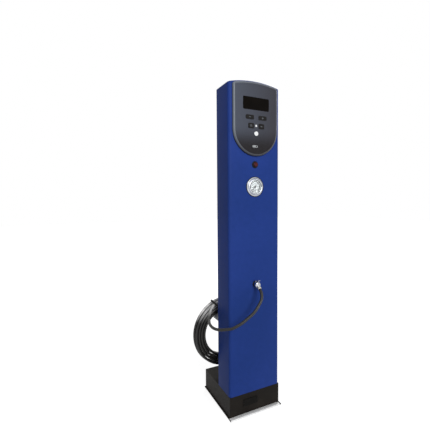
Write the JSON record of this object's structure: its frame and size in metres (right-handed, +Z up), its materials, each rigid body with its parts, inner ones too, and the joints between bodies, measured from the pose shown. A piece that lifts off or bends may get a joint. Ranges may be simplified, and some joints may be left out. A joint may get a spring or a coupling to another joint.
{
  "type": "tyre inflator with gauge",
  "caption": "Floor-standing tyre inflator: blue cabinet on a plinth, digital control panel, round analogue gauge, coiled air hose on the back and a clip-on chuck parked on the front.",
  "frame": {"origin": "middle of the foot plate, on the floor", "axes": "+Z up; -Y towards the user, out of the panel's face; +X to the right seen from the front"},
  "size_m": [0.3433, 0.331, 1.416],
  "materials": {
    "blue_paint": "gloss powder coat",
    "black_paint": "satin powder coat",
    "grey_plastic": "moulded, gloss",
    "black_plastic": "moulded, satin",
    "white_plastic": "moulded, satin",
    "red_plastic": "moulded, gloss",
    "dark_glass": "smoked window",
    "clear_glass": "clear",
    "chrome": "polished",
    "steel": "zinc plated",
    "aluminium": "milled",
    "brass": "turned",
    "circuit_board": "green lacquer",
    "blue_tube": "satin",
    "hose_rubber": "smooth, satin"
  },
  "bodies": {
    "cabinet": {"base_plate": "black_paint", "kick_strip": "steel", "plinth_box": "black_paint", "service_blank": "black_plastic", "column_shell": "blue_paint", "top_cap": "blue_paint", "rear_cover": "blue_paint", "hinge_leaf": "steel", "hinge_rod": "steel", "mounting_plate": "steel", "panel_bezel": "grey_plastic", "display_window": "dark_glass", "display_module": "black_plastic", "control_board": "circuit_board", "indicator_lamp": "white_plastic", "status_lens": "white_plastic", "ribbon_cable": "grey_plastic", "switch_bezel": "black_plastic", "switch_nut": "black_plastic", "switch_block": "black_plastic", "gauge_flange": "chrome", "gauge_case": "steel", "gauge_dial": "white_plastic", "gauge_lens": "clear_glass", "gauge_movement": "brass", "gauge_clamp": "steel", "valve_manifold": "aluminium", "inflate_solenoid": "black_plastic", "deflate_solenoid": "black_plastic", "pressure_sensor": "brass", "exhaust_silencer": "brass", "inlet_fitting": "brass", "outlet_fitting": "brass", "mains_gland": "black_plastic", "inlet_tube": "blue_tube", "outlet_tube": "blue_tube", "gauge_tube": "blue_tube", "power_supply": "aluminium", "mains_cable": "black_plastic", "hose_hanger": "black_paint", "hose_tail": "hose_rubber", "hose_coil": "hose_rubber", "hose_run": "hose_rubber", "chuck_holder": "black_plastic", "chuck_body": "chrome", "chuck_ferrule": "brass"},
    "key_minus": {"key_minus": "black_plastic"},
    "key_plus": {"key_plus": "black_plastic"},
    "key_mode": {"key_mode": "black_plastic"},
    "key_unit": {"key_unit": "black_plastic"},
    "start_key": {"start_key": "white_plastic"},
    "switch_button": {"switch_button": "red_plastic"},
    "gauge_pointer": {"gauge_pointer": "black_plastic"},
    "service_door": {"service_door": "blue_paint", "lock_barrel": "chrome"},
    "lock_cam": {"lock_cam": "steel"},
    "chuck_lever": {"chuck_lever": "chrome"},
    "inflate_plunger": {"inflate_plunger": "steel"},
    "deflate_plunger": {"deflate_plunger": "steel"}
  },
  "joints": [
    {"name": "key_minus_press", "type": "slide", "parent": "cabinet", "child": "key_minus", "axis": [0, 1, 0], "range_m": [0, 0.001], "stiffness_N_per_m": 1500, "springref_m": -0.0003},
    {"name": "key_plus_press", "type": "slide", "parent": "cabinet", "child": "key_plus", "axis": [0, 1, 0], "range_m": [0, 0.001], "stiffness_N_per_m": 1500, "springref_m": -0.0003},
    {"name": "key_mode_press", "type": "slide", "parent": "cabinet", "child": "key_mode", "axis": [0, 1, 0], "range_m": [0, 0.001], "stiffness_N_per_m": 1500, "springref_m": -0.0003},
    {"name": "key_unit_press", "type": "slide", "parent": "cabinet", "child": "key_unit", "axis": [0, 1, 0], "range_m": [0, 0.001], "stiffness_N_per_m": 1500, "springref_m": -0.0003},
    {"name": "start_key_press", "type": "slide", "parent": "cabinet", "child": "start_key", "axis": [0, 1, 0], "range_m": [0, 0.001], "stiffness_N_per_m": 1500, "springref_m": -0.0003},
    {"name": "switch_press", "type": "slide", "parent": "cabinet", "child": "switch_button", "axis": [0, 1, 0], "range_m": [0, 0.003], "stiffness_N_per_m": 800, "springref_m": -0.001},
    {"name": "gauge_reading", "type": "hinge", "parent": "cabinet", "child": "gauge_pointer", "pos_m": [0, -0.121, 0.98], "axis": [0, 1, 0], "range_deg": [0, 270], "stiffness_Nm_per_rad": 0.002, "springref_deg": -2.86},
    {"name": "door_hinge", "type": "hinge", "parent": "cabinet", "child": "service_door", "pos_m": [0.116, -0.0065, 0.9505], "axis": [0, 0, -1], "range_deg": [0, 110]},
    {"name": "door_lock", "type": "hinge", "parent": "service_door", "child": "lock_cam", "pos_m": [-0.094, -0.0168, 0.9505], "axis": [0, 1, 0], "range_deg": [0, 90]},
    {"name": "chuck_grip", "type": "hinge", "parent": "cabinet", "child": "chuck_lever", "pos_m": [0, -0.134, 0.5804], "axis": [1, 0, 0], "range_deg": [0, 12], "stiffness_Nm_per_rad": 0.4, "springref_deg": -5.73},
    {"name": "inflate_valve", "type": "slide", "parent": "cabinet", "child": "inflate_plunger", "axis": [0, 0, 1], "range_m": [0, 0.0015], "stiffness_N_per_m": 600, "springref_m": -0.001},
    {"name": "deflate_valve", "type": "slide", "parent": "cabinet", "child": "deflate_plunger", "axis": [0, 0, 1], "range_m": [0, 0.0015], "stiffness_N_per_m": 600, "springref_m": -0.001}
  ]
}
